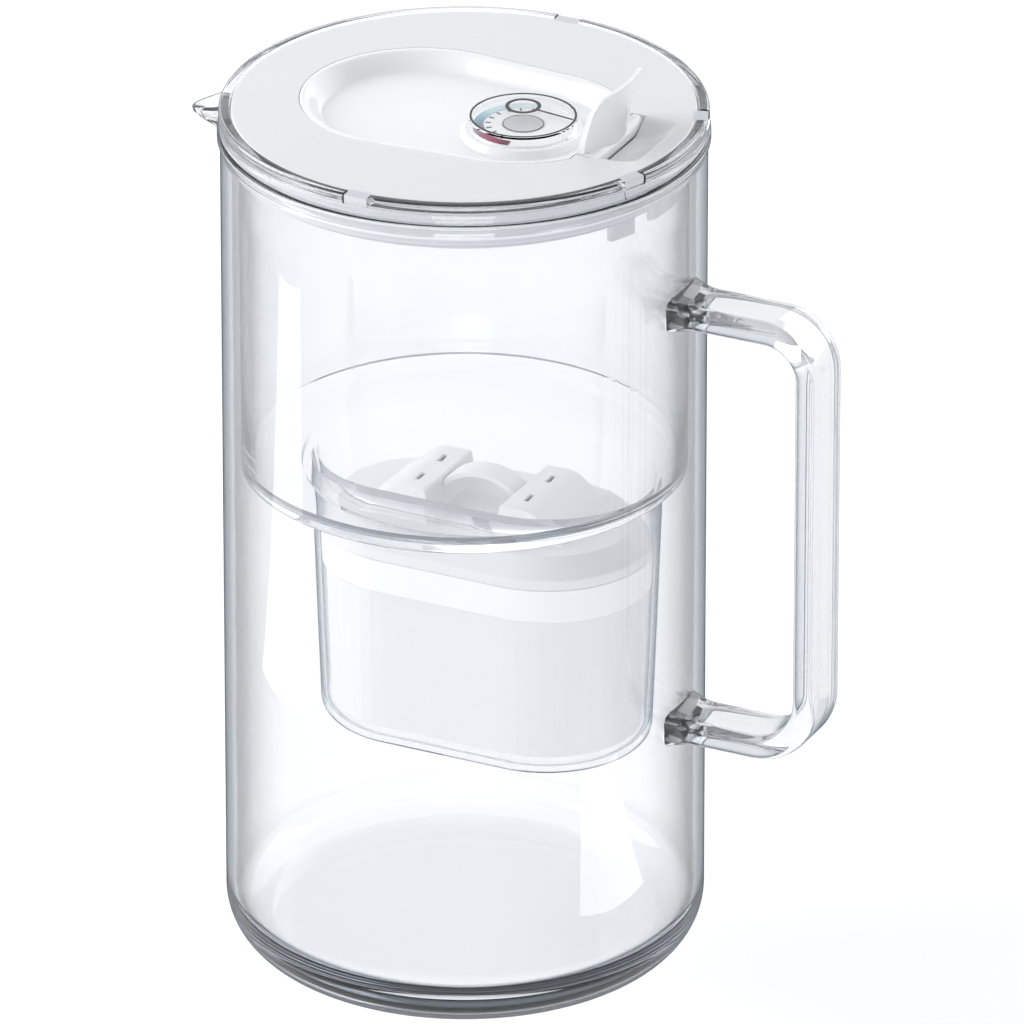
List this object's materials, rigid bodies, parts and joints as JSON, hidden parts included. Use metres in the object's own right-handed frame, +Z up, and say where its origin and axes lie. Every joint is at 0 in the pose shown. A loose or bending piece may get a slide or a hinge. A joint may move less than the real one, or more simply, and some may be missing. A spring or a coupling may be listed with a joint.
{
  "type": "water filter pitcher",
  "caption": "Clear round pitcher with D handle, pouring lip, lift-out funnel tank with oval filter cartridge, and white lid with sunken flip flap, thumb blade and turning dial.",
  "frame": {"origin": "centre of the jug's base, on the surface it stands on", "axes": "+Z up, +X towards the handle, -X towards the pouring lip, lid shut and dial at its shown setting"},
  "size_m": [0.189, 0.1316, 0.262],
  "materials": {
    "clear_body": "clear, polished",
    "clear_tank": "clear plastic, polished",
    "clear_cap": "clear plastic, polished",
    "white_gloss": "smooth satin gloss",
    "white_shell": "fine matt",
    "grey_liner": "frosted",
    "soft_seal": "matt silicone",
    "screen": "woven mesh",
    "resin": "packed beads",
    "carbon": "packed granules",
    "steel": "drawn wire",
    "scale_print": "printed ink",
    "black_print": "printed ink",
    "grey_hub": "printed ink"
  },
  "bodies": {
    "jug": {"glass_jug": "clear_body", "jug_handle": "clear_body"},
    "funnel": {"funnel_tank": "clear_tank"},
    "cartridge": {"cartridge_shell": "white_shell", "outlet_screen": "screen", "resin_bed": "resin", "bed_divider": "screen", "carbon_bed": "carbon", "inlet_screen": "screen", "seal_band": "soft_seal", "cartridge_cap": "white_shell", "pull_bow": "white_shell"},
    "lid": {"lid_cover": "white_gloss", "lid_liner": "grey_liner", "skirt_seal": "soft_seal", "hinge_axle": "steel"},
    "flap": {"flap_panel": "white_gloss", "flap_seal": "soft_seal", "dial_base": "white_gloss", "dial_scale": "scale_print", "dial_ticks": "black_print", "dial_hub": "grey_hub"},
    "dial": {"dial_cap": "clear_cap", "dial_rim_line": "black_print", "dial_marker": "black_print"}
  },
  "joints": [
    {"name": "funnel_lift", "type": "slide", "parent": "jug", "child": "funnel", "axis": [0, 0, 1], "range_m": [0, 0.185]},
    {"name": "cartridge_lift", "type": "slide", "parent": "funnel", "child": "cartridge", "axis": [0, 0, 1], "range_m": [0, 0.084]},
    {"name": "lid_lift", "type": "slide", "parent": "funnel", "child": "lid", "axis": [0, 0, 1], "range_m": [0, 0.03]},
    {"name": "flap_hinge", "type": "hinge", "parent": "lid", "child": "flap", "pos_m": [0.0436, 0, 0.2436], "axis": [0, 1, 0], "range_deg": [0, 50]},
    {"name": "dial_turn", "type": "hinge", "parent": "flap", "child": "dial", "pos_m": [0.0175, 0, 0.2452], "axis": [0, 0, 1], "continuous": true}
  ]
}
